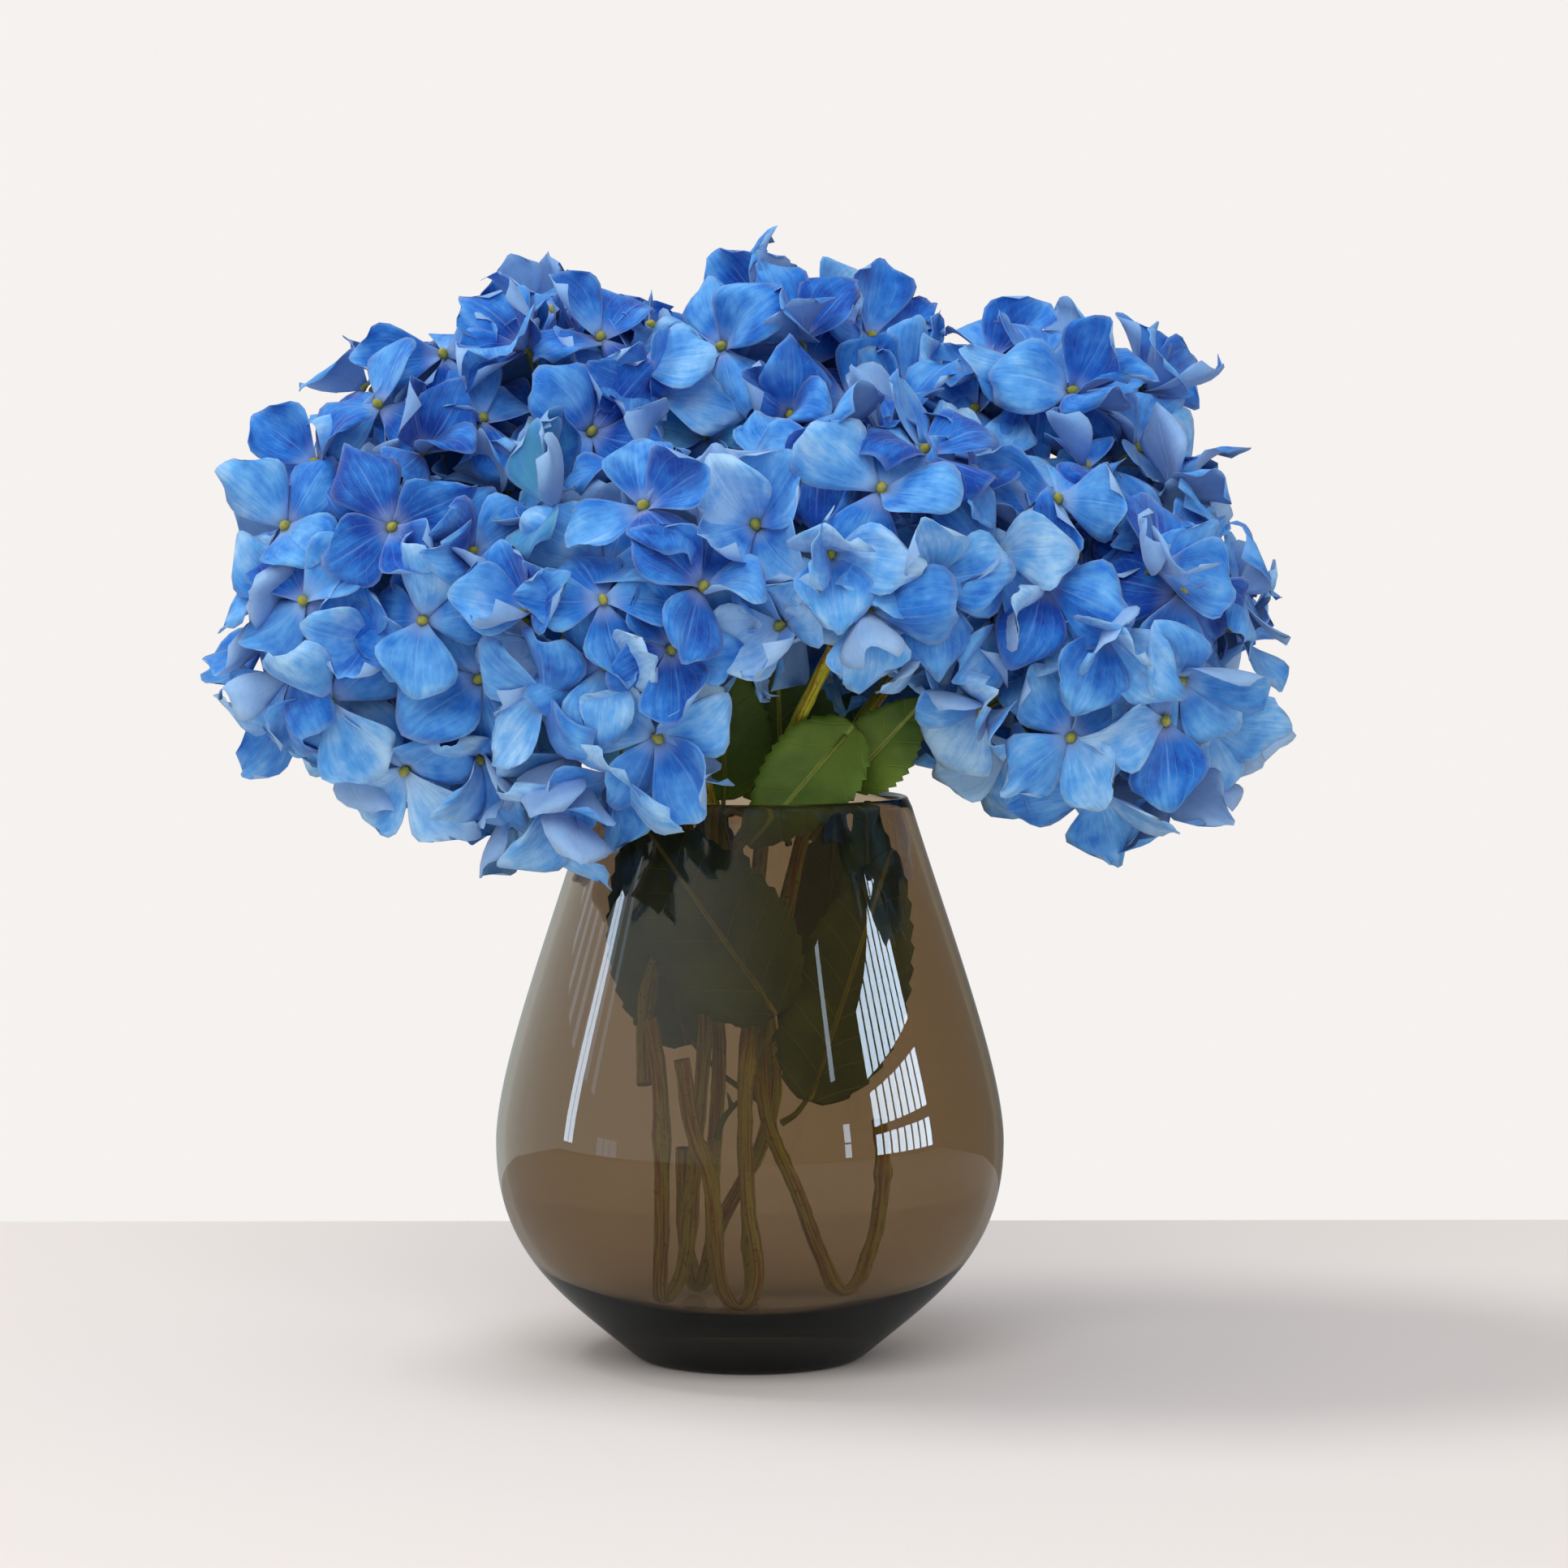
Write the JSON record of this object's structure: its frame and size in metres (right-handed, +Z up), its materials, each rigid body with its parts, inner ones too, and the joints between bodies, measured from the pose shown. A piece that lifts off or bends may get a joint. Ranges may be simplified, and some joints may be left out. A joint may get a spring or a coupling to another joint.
{
  "type": "hydrangeas in a vase",
  "caption": "Blue mophead hydrangeas with serrated leaves and bent stems standing in a teardrop vase of smoke-brown glass.",
  "frame": {"origin": "centre of the vase's foot, on the surface that it stands on", "axes": "+Z up, +X to the viewer's right, -Y towards the viewer"},
  "size_m": [0.3796, 0.2493, 0.3821],
  "materials": {
    "glass": "smoke-brown clear glass, polished",
    "stem": "ribbed green bark",
    "leaf": "veined green leaf, satin",
    "petal": "veined blue petal, soft matt",
    "bead": "yellow-green bead, matt",
    "stalk": "pale green flower stalk, satin"
  },
  "bodies": {
    "root": {"vase": "glass", "stem_front_left": "stem", "stem_front_right": "stem", "stem_right": "stem", "stem_top_left": "stem", "stem_left": "stem", "stem_top_back": "stem", "stem_top_right": "stem", "side_shoot": "stem", "leaf_front_left": "leaf", "leaf_back_left": "leaf", "leaf_front_right": "leaf", "leaf_right_edge": "leaf", "leaf_mouth_front": "leaf", "leaf_mouth_right": "leaf", "leaf_mouth_centre": "leaf", "leaf_mouth_left": "leaf", "leaf_rim_left": "leaf", "leaf_back": "leaf", "leaf_back_right": "leaf", "leaf_mouth_back_left": "leaf", "leaf_mouth_back_right": "leaf", "bloom_left": "petal", "bloom_top_left": "petal", "bloom_top_back": "petal", "bloom_front_left": "petal", "bloom_front_right": "petal", "bloom_top_right": "petal", "bloom_right": "petal"}
  },
  "joints": []
}
